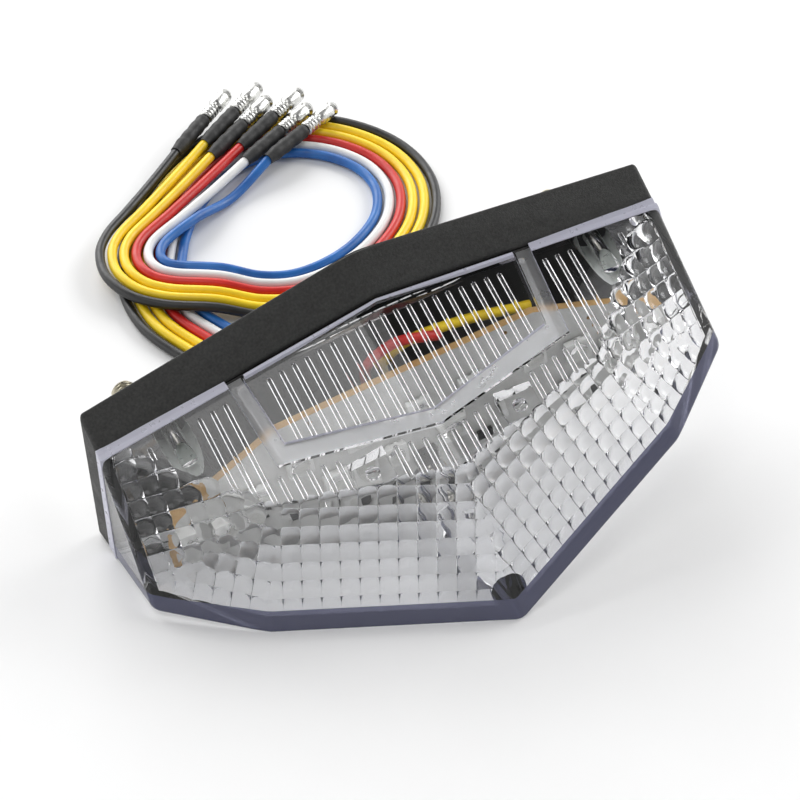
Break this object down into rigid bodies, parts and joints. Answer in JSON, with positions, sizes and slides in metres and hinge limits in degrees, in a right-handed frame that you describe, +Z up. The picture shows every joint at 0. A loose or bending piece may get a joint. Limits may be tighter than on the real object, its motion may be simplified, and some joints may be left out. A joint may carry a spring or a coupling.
{
  "type": "motorcycle tail light",
  "caption": "Wedge-shaped LED tail light with a clear faceted lens, built-in turn and plate lamps, two rear mounting studs and a loose loop of wiring leads.",
  "frame": {"origin": "bottom centre of the lamp's own box, leads left out; the lamp lies rolled 10 degrees so that the left half of its keel-shaped underside is on the table", "axes": "+X along the lamp's width, towards its right end; +Y out of its back, the way the studs and leads leave; +Z up from the table"},
  "size_m": [0.121, 0.1648, 0.0508],
  "materials": {
    "black_plastic": "fine spark-grained moulded black",
    "clear_plastic": "clear polished polycarbonate with moulded optics",
    "seal_rubber": "black foam-rubber seal",
    "board_laminate": "white solder mask on a tan laminate",
    "led_clear": "water-clear LED body",
    "chip_black": "moulded black",
    "screw_steel": "zinc-plated",
    "stud_steel": "zinc-plated thread",
    "grommet_rubber": "moulded black rubber",
    "sleeve_rubber": "heat-shrunk black sleeve",
    "terminal_tin": "tinned bullet terminal",
    "lead_black": "satin black insulation",
    "lead_yellow": "satin yellow insulation",
    "lead_red": "satin red insulation",
    "lead_white": "satin white insulation",
    "lead_blue": "satin blue insulation"
  },
  "bodies": {
    "root": {"housing": "black_plastic", "lens_gasket": "seal_rubber", "lens": "clear_plastic", "plate_light_window": "clear_plastic", "circuit_board": "board_laminate", "driver_chip": "chip_black", "lens_screw_left": "screw_steel", "lens_screw_right": "screw_steel", "lens_screw_keel": "screw_steel", "mounting_stud_left": "stud_steel", "mounting_stud_right": "stud_steel", "wire_grommet": "grommet_rubber", "inner_lead_yellow": "lead_yellow", "inner_lead_red": "lead_red", "brake_led_1": "led_clear", "brake_led_2": "led_clear", "brake_led_3": "led_clear", "brake_led_4": "led_clear", "brake_led_5": "led_clear", "brake_led_6": "led_clear", "brake_led_7": "led_clear", "brake_led_8": "led_clear", "brake_led_9": "led_clear", "turn_led_left_1": "led_clear", "turn_led_left_2": "led_clear", "turn_led_left_3": "led_clear", "turn_led_right_1": "led_clear", "turn_led_right_2": "led_clear", "turn_led_right_3": "led_clear", "resistor_1": "chip_black", "resistor_2": "chip_black", "resistor_3": "chip_black", "resistor_4": "chip_black", "lead_black": "lead_black", "sleeve_black": "sleeve_rubber", "terminal_black": "terminal_tin", "lead_yellow_left": "lead_yellow", "sleeve_yellow_left": "sleeve_rubber", "terminal_yellow_left": "terminal_tin", "lead_yellow_right": "lead_yellow", "sleeve_yellow_right": "sleeve_rubber", "terminal_yellow_right": "terminal_tin", "lead_red": "lead_red", "sleeve_red": "sleeve_rubber", "terminal_red": "terminal_tin", "lead_white": "lead_white", "sleeve_white": "sleeve_rubber", "terminal_white": "terminal_tin", "lead_blue": "lead_blue", "sleeve_blue": "sleeve_rubber", "terminal_blue": "terminal_tin"}
  },
  "joints": []
}
